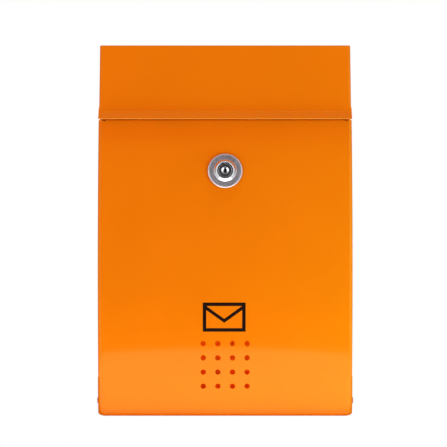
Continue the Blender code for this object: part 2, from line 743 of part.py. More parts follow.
def make_rubbers():
    """Buffers between the rail and the door, and pads that the lid comes down on."""
    height = DOOR_TOP - DOOR_EDGE_BEND
    start = rail_reach() + GAP
    end = door_reach(DOOR_TOP) - DOOR_EDGE_BEND - DOOR_FLANGE - GAP * 2
    top = HEIGHT - SHEET - GAP
    front = LID_TOP[0] - LID_BEND * 2
    for side, hand in ((-1, "left"), (1, "right")):
        bumper = bmesh.new()
        x = side * INNER_HALF * 0.75
        cylinder(bumper, place(x, start, height), place(x, end, height), BUMPER_RADIUS)
        piece(f"door_bumper_{hand}", bumper, RUBBER)
        pad = bmesh.new()
        near = side * (INNER_HALF - GAP)
        far = near - side * PAD_WIDTH
        box(pad, place(min(near, far), front, top - PAD_HEIGHT),
            place(max(near, far), front - PAD_LENGTH, top))
        piece(f"lid_pad_{hand}", pad, RUBBER)


# Lock: +Z of its frame points out of the door along the lock's axis

def make_lock_fixed(lock):
    """Rosette, housing, washer and nut, which move with the door."""
    hole = BARREL_RADIUS + GAP
    back = GAP + ROSETTE_CURVE
    front = back + ROSETTE_THICK
    turned("lock_rosette", [(hole, front), (ROSETTE_RADIUS - ROSETTE_CHAMFER, front),
                            (ROSETTE_RADIUS, front - ROSETTE_DROP),
                            (ROSETTE_RADIUS, back), (hole, back)], SATIN_NICKEL, lock)
    seat = front + GAP
    rim = seat + HEAD_THICK
    housing = turned("lock_housing", [
        (MOUTH_RADIUS, rim), (HEAD_RADIUS - HEAD_BEVEL, rim),
        (HEAD_RADIUS, rim - HEAD_BEVEL), (HEAD_RADIUS, seat), (BARREL_RADIUS, seat),
        (BARREL_RADIUS, -BARREL_LENGTH - STOP_THICK - GAP), (BORE_RADIUS, -BARREL_LENGTH - STOP_THICK - GAP),
        (BORE_RADIUS, PLUG_FACE - GAP)], CHROME, lock)
    wedge = bmesh.new()
    half = (LOCK_TURN + STOP_TAB) / 2 + STOP_PLAY
    far = HEAD_RADIUS * 1.5
    prism(wedge, [(0.0, 0.0), *arc((0, 0), far, STOP_MIDDLE - half, STOP_MIDDLE + half, 12)],
          -BARREL_LENGTH - STOP_THICK * 3, -BARREL_LENGTH)
    cut(housing, cutter("stop_window", wedge, lock))
    inner_face = -SHEET - GAP * 2
    turned("lock_washer", [(hole, inner_face), (WASHER_RADIUS, inner_face),
                           (WASHER_RADIUS, inner_face - WASHER_THICK), (hole, inner_face - WASHER_THICK)],
           ZINC, lock, 32)
    nut = bmesh.new()
    top = inner_face - WASHER_THICK - GAP
    corner = NUT_FLATS / 2 / math.cos(math.pi / 6)
    cylinder(nut, (0, 0, top - NUT_THICK), (0, 0, top), corner, 6)
    made = piece("lock_nut", nut, ZINC, lock)
    bore = bmesh.new()
    cylinder(bore, (0, 0, top - NUT_THICK * 2), (0, 0, top + NUT_THICK), hole, 32)
    cut(made, cutter("nut_bore", bore, lock))


def flatted(radius, flat, steps=6):
    """A round outline with two flats, anticlockwise."""
    turn = math.asin(flat / radius)
    return arc((0, 0), radius, -turn, turn, steps) + arc((0, 0), radius, math.pi - turn, math.pi + turn, steps)


def make_lock_turning(plug_axis):
    """Plug, wafers, stop, cam, washer and screw, which the key turns."""
    radius = BORE_RADIUS - GAP
    shoulder = -BARREL_LENGTH + GAP
    stop_top = -BARREL_LENGTH - GAP * 0.5
    cam_top = stop_top - STOP_THICK - GAP * 2
    tail_end = cam_top - CAM_THICK - GAP
    floor = PLUG_FACE - CONE_DEPTH
    plug = turned("lock_plug", [(0.0, floor), (CONE_FLOOR, floor), (CONE_RADIUS, PLUG_FACE),
                                (radius - PLUG_CHAMFER, PLUG_FACE), (radius, PLUG_FACE - PLUG_CHAMFER),
                                (radius, shoulder),
                                (TAIL_RADIUS, shoulder), (TAIL_RADIUS, tail_end), (0.0, tail_end)],
                  CHROME, plug_axis)
    flats = bmesh.new()
    for side in (-1, 1):
        low, high = sorted((side * TAIL_FLAT, side * TAIL_RADIUS * 1.3))
        box(flats, (-TAIL_RADIUS * 1.3, low, tail_end * 1.2), (TAIL_RADIUS * 1.3, high, shoulder))
    keyway = bmesh.new()
    box(keyway, (-KEYWAY_WIDTH / 2, -KEYWAY_HEIGHT / 2, PLUG_FACE - KEYWAY_DEPTH),
        (KEYWAY_WIDTH / 2, KEYWAY_HEIGHT / 2, PLUG_FACE * 2))
    ways = bmesh.new()
    box(ways, (-KEYWAY_WIDTH / 2 - GAP, -KEYWAY_HEIGHT / 2, PLUG_FACE - KEYWAY_DEPTH * 1.2),
        (KEYWAY_WIDTH / 2 + GAP, KEYWAY_HEIGHT / 2, PLUG_FACE))
    window = cutter("wafer_window", ways, plug_axis)
    slots = bmesh.new()
    for index in range(WAFERS):
        level = -WAFER_START - WAFER_PITCH * index
        room = WAFER_THICK / 2 + GAP
        box(slots, (-WAFER_WIDTH / 2 - GAP, -radius * 1.2, level - room),
            (WAFER_WIDTH / 2 + GAP, radius * 1.2, level + room))
        wafer = bmesh.new()
        box(wafer, (-WAFER_WIDTH / 2, -WAFER_HEIGHT / 2, level - WAFER_THICK / 2),
            (WAFER_WIDTH / 2, WAFER_HEIGHT / 2, level + WAFER_THICK / 2))
        cut(piece(f"lock_wafer_{index + 1}", wafer, BRASS, plug_axis), window)
    tapped = bmesh.new()
    cylinder(tapped, (0, 0, tail_end * 1.2), (0, 0, tail_end + SCREW_DEPTH + GAP), SCREW_RADIUS + GAP)
    cut(plug, cutter("tail_flats", flats, plug_axis), cutter("keyway", keyway, plug_axis),
        cutter("wafer_slots", slots, plug_axis), cutter("screw_hole", tapped, plug_axis))

    tail_hole = bmesh.new()
    prism(tail_hole, flatted(TAIL_RADIUS + GAP, TAIL_FLAT + GAP), tail_end * 1.2, 0.0)
    tail_tool = cutter("tail_hole", tail_hole, plug_axis)
    stop = bmesh.new()
    start = STOP_MIDDLE - LOCK_TURN / 2
    disc = BORE_RADIUS - GAP
    tab = arc((0, 0), BARREL_RADIUS, start - STOP_TAB / 2, start + STOP_TAB / 2, 4)
    rest = arc((0, 0), disc, start + STOP_TAB / 2, start - STOP_TAB / 2 + math.tau, 20)
    prism(stop, tab + rest, stop_top - STOP_THICK, stop_top)
    cut(piece("stop_washer", stop, ZINC, plug_axis), tail_tool)

    cam = bmesh.new()
    half = CAM_WIDTH / 2
    outline = arc((0, 0), half, math.pi / 2, math.pi * 3 / 2, 10)
    tip = half * 0.7
    outline += arc((CAM_LENGTH - tip, 0), tip, -math.pi / 2, math.pi / 2, 8)
    prism(cam, outline, cam_top - CAM_THICK, cam_top)
    cut(piece("lock_cam", cam, ZINC, plug_axis), tail_tool)

    washer_top = tail_end - GAP
    bore = SCREW_RADIUS + GAP
    turned("cam_washer", [(bore, washer_top), (SCREW_HEAD_RADIUS, washer_top),
                          (SCREW_HEAD_RADIUS, washer_top - SPRING_WASHER_THICK),
                          (bore, washer_top - SPRING_WASHER_THICK)], ZINC, plug_axis, 24)
    head_top = washer_top - SPRING_WASHER_THICK - GAP
    screw = turned("cam_screw", [(0.0, tail_end + SCREW_DEPTH), (SCREW_RADIUS, tail_end + SCREW_DEPTH),
                                 (SCREW_RADIUS, head_top), (SCREW_HEAD_RADIUS, head_top),
                                 (SCREW_HEAD_RADIUS, head_top - SCREW_HEAD * 0.6),
                                 (SCREW_HEAD_RADIUS * 0.7, head_top - SCREW_HEAD),
                                 (0.0, head_top - SCREW_HEAD)],
                   ZINC, plug_axis, 24)
    cross = bmesh.new()
    low = head_top - SCREW_HEAD * 1.2
    high = head_top - SCREW_HEAD * 0.4
    arm = SCREW_HEAD_RADIUS * 0.55
    box(cross, (-arm, -SCREW_SLOT, low), (arm, SCREW_SLOT, high))
    upright = bmesh.new()
    box(upright, (-SCREW_SLOT, -arm, low), (SCREW_SLOT, arm, high))
    cut(screw, cutter("recess_across", cross, plug_axis), cutter("recess_up", upright, plug_axis))


lid_axis = axis_empty("lid_axis", place(0.0, *KNUCKLE_AXIS))
door_axis = axis_empty("door_axis", place(0.0, *PIVOT))
lock_origin, lock_tilt = lock_frame()
lock_axis = axis_empty("lock_axis", lock_origin - door_axis.location, lock_tilt, door_axis)

make_back()
make_sides()
make_base()
make_rail()
make_fasteners()
make_rubbers()
make_door(door_axis, lock_axis)
make_lock_fixed(lock_axis)
make_lock_turning(lock_axis)
make_lid(lid_axis)
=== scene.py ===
"""Looks of the wall mailbox: fine sheet metal, enamel, a chromed cam lock, and a pale studio.

Metres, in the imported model's frame: the front faces -Y, +X is to the right, +Z is up. "Reach" is a
distance forward from the wall plane. Overall sizes come from the frame; the sizes of folds, the
lock and its profile below are the ones that the model has.
"""
import json
import math

import bmesh
import bpy
from mathutils import Matrix, Vector


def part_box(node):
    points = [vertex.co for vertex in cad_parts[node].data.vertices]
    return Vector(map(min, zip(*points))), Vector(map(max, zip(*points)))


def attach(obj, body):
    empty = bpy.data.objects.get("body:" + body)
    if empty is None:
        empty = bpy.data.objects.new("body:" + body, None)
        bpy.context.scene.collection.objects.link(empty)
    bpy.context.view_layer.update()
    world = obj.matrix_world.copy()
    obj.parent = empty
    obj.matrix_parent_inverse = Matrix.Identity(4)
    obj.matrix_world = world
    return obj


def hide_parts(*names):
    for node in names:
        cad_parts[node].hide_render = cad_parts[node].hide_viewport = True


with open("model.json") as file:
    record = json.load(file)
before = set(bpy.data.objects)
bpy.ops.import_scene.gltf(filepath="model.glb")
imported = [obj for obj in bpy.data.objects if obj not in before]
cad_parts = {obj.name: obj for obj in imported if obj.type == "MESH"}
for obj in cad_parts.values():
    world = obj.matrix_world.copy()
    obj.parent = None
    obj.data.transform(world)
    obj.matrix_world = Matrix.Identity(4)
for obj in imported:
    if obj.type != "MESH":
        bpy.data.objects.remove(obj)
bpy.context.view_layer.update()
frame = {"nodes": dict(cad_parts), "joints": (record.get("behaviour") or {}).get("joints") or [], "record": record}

WALL_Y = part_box("back_panel")[1].y
DOOR_LOW, DOOR_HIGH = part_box("door_panel")
LID_BOX_LOW, LID_BOX_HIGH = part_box("lid_panel")
HEIGHT = LID_BOX_HIGH.z
DEPTH = WALL_Y - DOOR_LOW.y
WIDTH = DOOR_HIGH.x - DOOR_LOW.x

# Sheet and folds
SHEET = 0.0008
GAP = 0.0003
PLAY = 0.0004
EDGE = 0.00016  # rounding of a cut edge
CREASE = math.radians(35)  # shading breaks at sharper edges than this
FOLD_STEPS = 10
EAR_PROUD = 0.0004
EAR_HEIGHT = 0.031
EAR_BEND = 0.0054
EAR_DEPTH = 0.022
EAR_CORNER = 0.0015
EAR_BLEND = 0.002
DOOR_BEND = 0.0033
DOOR_RETURN = 0.012
DOOR_BULGE = 0.0185
DOOR_EDGE_BEND = 0.0015
DOOR_LIP = 0.0055
DOOR_FLANGE = 0.006
BEND_RELIEF = 0.0012
DOOR_ROWS = 90
HOLE_ROWS = 4
HOLE_PITCH = 0.0123
HOLE_RADIUS = 0.0023
HOLE_CENTRE_HEIGHT = 0.044
PIN_RADIUS = 0.002

# Lid and its hinge
LID_HEIGHT = 0.0633
LID_BEND = 0.0024
LID_TOP_BEND = 0.0012
LID_INSET = 0.0004
LID_TOP_SETBACK = 0.040
LID_LIP_SETBACK = 0.0125
LIP_HEIGHT = 0.0062
LIP_RUN = 0.0085
LIP_BEND = 0.0016
CHEEK_BELOW_TOP = 0.051
CHEEK_REAR_DROP = 0.024
CHEEK_DEPTH = 0.010
KNUCKLE_RADIUS = 0.0026
KNUCKLE_GAP = 0.0006

# Lock
ROSETTE_RADIUS = 0.0147
ROSETTE_THICK = 0.0012
ROSETTE_DISH = 0.0002  # fall of its face towards the lock
ROSETTE_RIM = 0.0016
ROSETTE_ROLL = 0.0006
ROSETTE_DROP = 0.0008
ROSETTE_SOFT = 0.0002
HEAD_RADIUS = 0.0096
HEAD_THICK = 0.0024
BARREL_RADIUS = 0.008
BARREL_LENGTH = 0.0175
BORE_RADIUS = 0.0061
PLUG_FACE = 0.0026
PLUG_EDGE = 0.0003
PLUG_DROP = 0.0004
PLUG_SOFT = 0.00015
ROSETTE_BACK = GAP * 2  # clears the curve of the door
HEAD_BEVEL = 0.0020
HEAD_DROP = 0.0001
HEAD_LEAN = 0.0002
HEAD_SOFT = 0.00025
MOUTH_RADIUS = 0.0068
MOUTH_EDGE = 0.0003
CONE_RADIUS = 0.0031  # recess that guides the key in
FLOOR_RADIUS = 0.0016
CONE_DEPTH = 0.0011
FLOOR = PLUG_FACE - CONE_DEPTH
KEYWAY_WIDTH = 0.0015
KEYWAY_HEIGHT = 0.0056
KEYWAY_DEPTH = 0.0165
TAIL_RADIUS = 0.004
TAIL_FLAT = 0.0028  # half the width across the tail's two flats
WAFERS = 5
WAFER_START = 0.002
WAFER_PITCH = 0.0025
WAFER_THICK = 0.001
WAFER_WIDTH = 0.0046
STOP_THICK = 0.0008
STOP_TAB = math.radians(30)
STOP_PLAY = math.radians(4)
TURNED_STEPS = 128
STOP_MIDDLE = math.radians(225)  # middle of the stop tab's travel
LOCK_TURN = math.radians(90)
CAM_THICK = 0.002
SCREW_RADIUS = 0.0015
SCREW_DEPTH = 0.007

# Envelope on the door: centre from the middle of the door and up from the table
MARK_CENTRE = (-0.0008, 0.0845)
MARK_WIDTH = 0.036
MARK_HEIGHT = 0.0245
MARK_LINE = 0.0029
MARK_THICK = 0.00008
MARK_DIP = 0.12  # the flap's point below the middle, as a share of half the height
MARK_STEPS = 12

# Fasteners
RIVET_RADIUS = 0.0016
RIVET_HEAD = 0.0007
PIN_HEAD = 0.0004
TAIL_SPREAD = 1.45  # a formed tail against its shank
SOFT = 0.00012  # rounding of a flat piece's edges
PAD_SOFT = 0.0006
SMALL_STEPS = 48

# Table
TABLE_RADIUS = 0.296
TABLE_CENTRE = 0.1015  # behind the middle of the box
TABLE_THICK = 0.012
# The table's glow lights the box from below, though the table is no lamp. Its colour is green-tinted.
TABLE_GLOW = 1.2
TABLE_GLOW_COLOUR = (0.66, 1.0, 0.60, 1.0)
TABLE_SHADOW_FADE = (0.004, 0.018)  # where the table's glow fades out near the door's foot, behind the crest of the door: a painted contact shadow
TABLE_LIFT = 0.0001
PAINTED_REFLECTION = (3.1, 3.1, 3.1, 1.0)  # painted reflection: the table as the gloss shows it, given by an emitting disc that only gloss sees
# where the painted reflection fades out near the door's foot: a painted shadow in it
PAINTED_REFLECTION_FADE = (0.0120, 0.0165)

# Tent: what lights the box and shows in its gloss
TENT = (1.20, 0.97, 1.20)  # radiance at the level of the box, in each colour
TENT_FALL = (0.28, 1.55, 0.80)  # how fast it darkens upwards and brightens downwards, in each colour
TENT_REAR = 0.15  # what is left of it behind the box
TENT_ROOF = 0.22  # the least that is left of it overhead
REAR = (-0.45, 0.10)
GLOSS = 1.6  # what the gloss shows of it at the level of the box
GLOSS_FALL = 0.5  # how much of that is lost overhead and at the foot
GLOSS_SIDE = (0.28, 0.60)
OPENING = 0.05  # radiance of the opening for the camera
OPENING_SIDE = (0.24, 0.36)
OPENING_END = (0.62, 0.74)
OPENING_RISE = 0.04

# Soft lights: place, aim, width, height, watts, colour
SIDE_COLOUR = (0.28, 1.0, 0.4)
SOFTBOXES = {
    "right_light": ((0.42, -0.26, 0.04), (0.06, -0.03, 0.10), 0.20, 0.4, 1.9, SIDE_COLOUR),
    "left_light": ((-0.45, -0.28, 0.04), (-0.06, -0.03, 0.10), 0.20, 0.4, 0.7, SIDE_COLOUR),
    "top_light": ((0.0, -0.02, 1.1), (0.0, -0.02, 0.3), 0.5, 0.25, 2.8, (0.62, 1.85, 1.10)),
    "inner_light": ((0.0, 0.005, 0.17), (0.0, 0.0, 0.0), 0.12, 0.03, 0.11, (1.0, 0.9, 1.0)),
}

# Camera
CAMERA_DISTANCE = 2.5
CAMERA_HEIGHT = 0.1631
CAMERA_SIDE = -0.0014
FIELD = 0.3750  # width of the view at the crest of the door
SENSOR = 0.036

# Worked out from the values above
DOOR_HALF = WIDTH / 2 - EAR_PROUD
LID_HALF = DOOR_HALF - LID_INSET
BODY_HALF = LID_HALF - SHEET - PLAY
INNER_HALF = BODY_HALF - SHEET
EDGE_HALF = WIDTH / 2 - EAR_BEND - BEND_RELIEF
DOOR_LIFT = DOOR_LOW.z
DOOR_TOP = DOOR_HIGH.z
DOOR_MIDDLE = (DOOR_TOP + DOOR_LIFT) / 2
HALF_CHORD = (DOOR_TOP - DOOR_LIFT) / 2
DOOR_RADIUS = (HALF_CHORD**2 + DOOR_BULGE**2) / (2 * DOOR_BULGE)
KNUCKLE_AXIS = (KNUCKLE_RADIUS, HEIGHT - KNUCKLE_RADIUS)
PANEL_START = 2 * KNUCKLE_RADIUS + KNUCKLE_GAP


def place(x, reach, height):
    return Vector((x, WALL_Y - reach, height))


def blend(low, high, share):
    return low + (high - low) * share


def eased(share):
    """A smooth step from 0 to 1."""
    share = min(1.0, max(0.0, share))
    return share * share * (3 - 2 * share)


# Materials

class Nodes:
    """A material's node tree, with short ways to add nodes and join them."""

    def __init__(self, name):
        self.material = bpy.data.materials.new(name)
        self.material.use_nodes = True
        self.tree = self.material.node_tree
        self.shader = self.tree.nodes["Principled BSDF"]

    def add(self, kind, inputs=None, **settings):
        node = self.tree.nodes.new(kind)
        for name, value in settings.items():
            setattr(node, name, value)
        for name, value in (inputs or {}).items():
            if isinstance(value, bpy.types.NodeSocket):
                self.tree.links.new(value, node.inputs[name])
            else:
                node.inputs[name].default_value = value
        return node

    def drive(self, name, socket):
        self.tree.links.new(socket, self.shader.inputs[name])

    def fix(self, **values):
        for name, value in values.items():
            self.shader.inputs[name.replace("_", " ")].default_value = value

    def place(self):
        return self.add("ShaderNodeTexCoord").outputs["Object"]

    def noise(self, scale, detail=3.0):
        inputs = {"Vector": self.place(), "Scale": scale, "Detail": detail}
        return self.add("ShaderNodeTexNoise", inputs)

    def spread(self, socket, low, high):
        """A noise value, spread from low to high."""
        node = self.add("ShaderNodeMapRange", {"Value": socket, "From Min": 0.3, "From Max": 0.7,
                                               "To Min": low, "To Max": high})
        return node.outputs["Result"]

    def tint(self, socket, low, high):
        """A colour between two colours, by a noise value."""
        ramp = self.add("ShaderNodeValToRGB", {"Fac": socket})
        ramp.color_ramp.elements[0].position = 0.3
        ramp.color_ramp.elements[0].color = (*low, 1.0)
        ramp.color_ramp.elements[1].position = 0.7
        ramp.color_ramp.elements[1].color = (*high, 1.0)
        return ramp.outputs["Color"]

    def bump(self, height, distance):
        node = self.add("ShaderNodeBump", {"Height": height, "Distance": distance, "Strength": 1.0})
        self.drive("Normal", node.outputs["Normal"])


def enamel():
    """Glossy orange enamel: a faint orange peel, and slight changes of shade and gloss."""
    made = Nodes("orange_enamel")
    broad = made.noise(14.0, 2.0)
    made.drive("Base Color", made.tint(broad.outputs["Fac"], (0.86, 0.163, 0.0018), (0.90, 0.171, 0.0023)))
    fine = made.noise(260.0, 2.0)
    made.drive("Roughness", made.spread(fine.outputs["Fac"], 0.10, 0.15))
    made.bump(made.noise(520.0, 1.0).outputs["Fac"], 0.000012)
    made.fix(Specular_IOR_Level=0.24, Specular_Tint=(0.45, 1.0, 0.37, 1.0))
    return made.material


def satin_metal(name, low, high, roughness):
    """Plated metal with fine marks: brighter and duller specks, and a slight grain."""
    made = Nodes(name)
    grain = made.noise(900.0, 4.0)
    made.drive("Base Color", made.tint(grain.outputs["Fac"], low, high))
    made.drive("Roughness", made.spread(made.noise(400.0).outputs["Fac"], roughness * 0.85, roughness * 1.15))
    made.bump(grain.outputs["Fac"], 0.000008)
    made.fix(Metallic=1.0)
    return made.material


def black_ink():
    made = Nodes("black_ink")
    cloud = made.noise(300.0, 3.0)
    made.drive("Base Color", made.tint(cloud.outputs["Fac"], (0.009, 0.003, 0.003), (0.014, 0.005, 0.004)))
    made.drive("Roughness", made.spread(cloud.outputs["Fac"], 0.32, 0.42))
    made.fix(Specular_IOR_Level=0.06)
    return made.material


def rubber():
    made = Nodes("black_rubber")
    cloud = made.noise(1500.0, 4.0)
    made.drive("Base Color", made.tint(cloud.outputs["Fac"], (0.012, 0.012, 0.013), (0.025, 0.025, 0.026)))
    made.drive("Roughness", made.spread(cloud.outputs["Fac"], 0.65, 0.85))
    made.bump(cloud.outputs["Fac"], 0.00003)
    return made.material


ENAMEL = enamel()
CHROME = satin_metal("chrome", (0.78, 0.78, 0.80), (0.84, 0.84, 0.86), 0.10)
SATIN = satin_metal("satin_nickel", (0.67, 0.61, 0.65), (0.76, 0.70, 0.74), 0.40)
ZINC = satin_metal("zinc_plate", (0.50, 0.51, 0.53), (0.60, 0.61, 0.62), 0.32)
BRASS = satin_metal("brass", (0.60, 0.43, 0.17), (0.70, 0.52, 0.24), 0.30)
ALUMINIUM = satin_metal("aluminium", (0.58, 0.59, 0.61), (0.68, 0.69, 0.70), 0.36)
INK = black_ink()
# A near-black material for the keyway's walls: painted shade in the recess
SHADE = satin_metal("keyway_painted_shade", (0.020, 0.018, 0.018), (0.035, 0.032, 0.030), 0.5)
RUBBER = rubber()


# Pieces

def smooth(made):
    """Smooth shading that keeps creases, with flat faces kept flat."""
    mesh = made.data
    mesh.shade_smooth()
    mesh.set_sharp_from_angle(angle=CREASE)


def new_piece(name, bm, material, body, replaced=()):
    mesh = bpy.data.meshes.new(name)
    bm.to_mesh(mesh)
    bm.free()
    mesh.materials.append(material)
    made = bpy.data.objects.new(name, mesh)
    bpy.context.scene.collection.objects.link(made)
    smooth(made)
    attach(made, body)
    if replaced:
        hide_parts(*replaced)
    return made


def settle(made):
    """Applies the modifiers, so that creases and normals are set on the final mesh."""
    graph = bpy.context.evaluated_depsgraph_get()
    mesh = bpy.data.meshes.new_from_object(made.evaluated_get(graph))
    made.modifiers.clear()
    made.data = mesh
    smooth(made)
    flatten = made.modifiers.new("flat_faces", "WEIGHTED_NORMAL")
    flatten.keep_sharp = True


def soften(made, width, angle):
    edge = made.modifiers.new("edges", "BEVEL")
    edge.width = width
    edge.segments = 2
    edge.limit_method = "ANGLE"
    edge.angle_limit = angle


def thicken(made):
    """Gives a sheet's outer face its thickness, and rounds the cut edges."""
    step = made.modifiers.new("sheet", "SOLIDIFY")
    step.thickness = SHEET
    step.offset = -1.0
    step.use_even_offset = True
    step.use_quality_normals = True
    soften(made, EDGE, math.radians(60))


def tool(name, bm, material=None):
    """A cutter. The faces that it cuts take its material, if it has one."""
    mesh = bpy.data.meshes.new(name)
    bm.to_mesh(mesh)
    bm.free()
    if material:
        mesh.materials.append(material)
    made = bpy.data.objects.new(name, mesh)
    bpy.context.scene.collection.objects.link(made)
    return made


def cut(made, cutters):
    """Cuts the cutters out, applies everything, and removes the cutters."""
    for cutter in cutters:
        step = made.modifiers.new(cutter.name, "BOOLEAN")
        step.operation = "DIFFERENCE"
        step.material_mode = "TRANSFER" if cutter.data.materials else "INDEX"
        step.object = cutter
    settle(made)
    for cutter in cutters:
        bpy.data.objects.remove(cutter, do_unlink=True)


def cylinder(bm, start, end, radius, steps=40):
    start = Vector(start)
    span = Vector(end) - start
    turn = span.to_track_quat("Z", "Y").to_matrix().to_4x4()
    where = Matrix.Translation(start + span / 2) @ turn
    bmesh.ops.create_cone(bm, cap_ends=True, segments=steps, radius1=radius, radius2=radius,
                          depth=span.length, matrix=where)


def lathe(bm, profile, frame_matrix, steps=96):
    """A turned solid: (radius, height) pairs down the outer side, closed if it has a bore."""
    rings = []
    for radius, height in profile:
        count = 1 if radius == 0.0 else steps
        turns = [math.tau * step / steps for step in range(count)]
        spots = [Vector((radius * math.cos(turn), radius * math.sin(turn), height)) for turn in turns]
        rings.append([bm.verts.new(frame_matrix @ spot) for spot in spots])
    pairs = list(zip(rings, rings[1:]))
    if profile[0][0] > 0:
        pairs.append((rings[-1], rings[0]))
    for ring, after in pairs:
        for step in range(steps):
            follow = (step + 1) % steps
            corners = [ring[step % len(ring)], after[step % len(after)],
                       after[follow % len(after)], ring[follow % len(ring)]]
            bm.faces.new(list(dict.fromkeys(corners)))


def rounded(profile, radius, steps=3):
    """A profile with every corner rounded but its two ends."""
    out = [profile[0]]
    for before, corner, after in zip(profile, profile[1:], profile[2:]):
        corner_at = Vector(corner)
        inward = Vector(before) - corner_at
        outward = Vector(after) - corner_at
        reach = min(radius, inward.length * 0.45, outward.length * 0.45)
        start = corner_at + inward.normalized() * reach
        end = corner_at + outward.normalized() * reach
        for step in range(steps + 1):
            share = step / steps
            near = start.lerp(corner_at, share)
            far = corner_at.lerp(end, share)
            out.append(tuple(near.lerp(far, share)))
    out.append(profile[-1])
    return out


class Sheet:
    """A folded sheet's outer face, from rows along its profile and columns across it."""

    def __init__(self, spot):
        self.bm = bmesh.new()
        self.spot = spot
        self.corners = {}

    def corner(self, row, column):
        if (row, column) not in self.corners:
            self.corners[row, column] = self.bm.verts.new(self.spot(row, column))
        return self.corners[row, column]

    def patch(self, rows, columns):
        for low, high in zip(rows, rows[1:]):
            for left, right in zip(columns, columns[1:]):
                self.bm.faces.new((self.corner(low, left), self.corner(low, right),
                                   self.corner(high, right), self.corner(high, left)))


def mirrored(columns):
    return [(-1, *column[1:]) for column in reversed(columns)] + columns


def set_back(row, depth):
    reach, height, tilt = row
    return reach - depth * math.cos(tilt), height - depth * math.sin(tilt)


# Door

def door_tilt(height):
    return math.asin((height - DOOR_MIDDLE) / DOOR_RADIUS)


def door_row(height):
    tilt = door_tilt(height)
    return (DEPTH - DOOR_RADIUS * (1 - math.cos(tilt)), height, tilt)


def row_along(turn):
    return door_row(DOOR_MIDDLE + DOOR_RADIUS * math.sin(turn))


def bend_rows(row, radius, end_tilt, run, count=FOLD_STEPS):
    centre = set_back(row, radius)
    rows = []
    for step in range(1, count + 1):
        turn = blend(row[2], end_tilt, step / count)
        rows.append((centre[0] + radius * math.cos(turn), centre[1] + radius * math.sin(turn), turn))
    reach, height, turn = rows[-1]
    rows.append((reach - run, height, turn))
    return rows


def ear_share(height):
    """0 on the plain side of the door, 1 on a hinge ear, with a smooth step between."""
    return eased((DOOR_LIFT + EAR_HEIGHT + EAR_BLEND - height) / EAR_BLEND)


def door_spot(row, column):
    height = row[1]
    side, kind, step = column
    if kind == "edge":
        return place(side * EDGE_HALF, *set_back(row, 0.0))
    share = ear_share(height)
    half = DOOR_HALF + EAR_PROUD * share
    radius = blend(DOOR_BEND, EAR_BEND, share)
    above = height - DOOR_LIFT
    if above < EAR_CORNER:
        half -= EAR_CORNER - math.sqrt(max(0.0, EAR_CORNER**2 - (EAR_CORNER - above) ** 2))
    if kind == "return":
        return place(side * half, *set_back(row, blend(DOOR_RETURN, EAR_DEPTH, share)))
    turn = math.pi / 2 * step / FOLD_STEPS
    return place(side * (half - radius + radius * math.sin(turn)),
                 *set_back(row, radius * (1 - math.cos(turn))))


def make_door():
    low_tilt = door_tilt(DOOR_LIFT)
    high_tilt = door_tilt(DOOR_TOP)
    low = DOOR_LIFT + DOOR_EDGE_BEND * (1 + math.sin(low_tilt))
    high = DOOR_TOP - DOOR_EDGE_BEND * (1 - math.sin(high_tilt))
    ear_top = DOOR_LIFT + EAR_HEIGHT
    upper = ear_top + EAR_BLEND
    heights = [blend(low, ear_top, step / 10) for step in range(10)]
    heights += [blend(ear_top, upper, step / 4) for step in range(4)]
    heights += [blend(upper, high, step / DOOR_ROWS) for step in range(DOOR_ROWS + 1)]
    rows = [door_row(height) for height in heights]
    tail = [door_row(blend(low, DOOR_LIFT, math.sin(step * math.pi / 16))) for step in range(1, 9)]
    lip = bend_rows(rows[0], DOOR_EDGE_BEND, -math.pi / 2, DOOR_LIP)
    flange = bend_rows(rows[-1], DOOR_EDGE_BEND, math.pi / 2, DOOR_FLANGE)
    bends = [(1, "bend", step) for step in range(FOLD_STEPS + 1)]
    edges = [(-1, "edge", 0), (1, "edge", 0)]
    sheet = Sheet(door_spot)
    sheet.patch(rows, mirrored([(1, "edge", 0), *bends, (1, "return", 0)]))
    sheet.patch([rows[-1], *flange], edges)
    sheet.patch([*reversed(lip), rows[0]], edges)
    head = [door_row(blend(high, DOOR_TOP, step / 4)) for step in range(1, 5)]
    sheet.patch([rows[-1], *head], bends)
    sheet.patch([rows[-1], *head], [(-1, kind, step) for _, kind, step in reversed(bends)])
    sheet.patch([*reversed(tail), rows[0]], bends)
    sheet.patch([*reversed(tail), rows[0]], [(-1, kind, step) for _, kind, step in reversed(bends)])
    door = new_piece("door_skin", sheet.bm, ENAMEL, "door", ["door_panel"])
    thicken(door)

    holes = bmesh.new()
    centre = door_tilt(HOLE_CENTRE_HEIGHT)
    offsets = [(index - (HOLE_ROWS - 1) / 2) * HOLE_PITCH for index in range(HOLE_ROWS)]
    for rise in offsets:
        row = row_along(centre + rise / DOOR_RADIUS)
        for x in offsets:
            start, end = (place(x, *set_back(row, depth)) for depth in (-SHEET * 3, SHEET * 4))
            cylinder(holes, start, end, HOLE_RADIUS)
    barrel = bmesh.new()
    cylinder(barrel, LOCK_FRAME @ Vector((0, 0, -SHEET * 4)), LOCK_FRAME @ Vector((0, 0, SHEET * 3)),
             BARREL_RADIUS + GAP, 64)
    pivots = bmesh.new()
    pivot = joint_place("door_hinge")
    cylinder(pivots, pivot - Vector((WIDTH, 0, 0)), pivot + Vector((WIDTH, 0, 0)), PIN_RADIUS + GAP)
    cut(door, [tool("view_holes", holes), tool("lock_hole", barrel), tool("pivot_holes", pivots)])


def joint_place(name):
    return next(Vector(joint["pos_m"]) for joint in frame["joints"] if joint["name"] == name)


def joint_axis(name):
    return next(Vector(joint["axis"]) for joint in frame["joints"] if joint["name"] == name)


# Lid

def slope_ends():
    top = (DEPTH - LID_TOP_SETBACK, HEIGHT)
    lip = (DEPTH - LID_LIP_SETBACK, HEIGHT - LID_HEIGHT)
    return top, (lip[0] - LIP_RUN, lip[1] + LIP_HEIGHT), lip


def line_tilt(start, end):
    return math.atan2(end[0] - start[0], start[1] - end[1])


LID_TOP, LID_CREASE, LID_EDGE = slope_ends()
SLOPE_TILT = line_tilt(LID_TOP, LID_CREASE)
LIP_TILT = line_tilt(LID_CREASE, LID_EDGE)


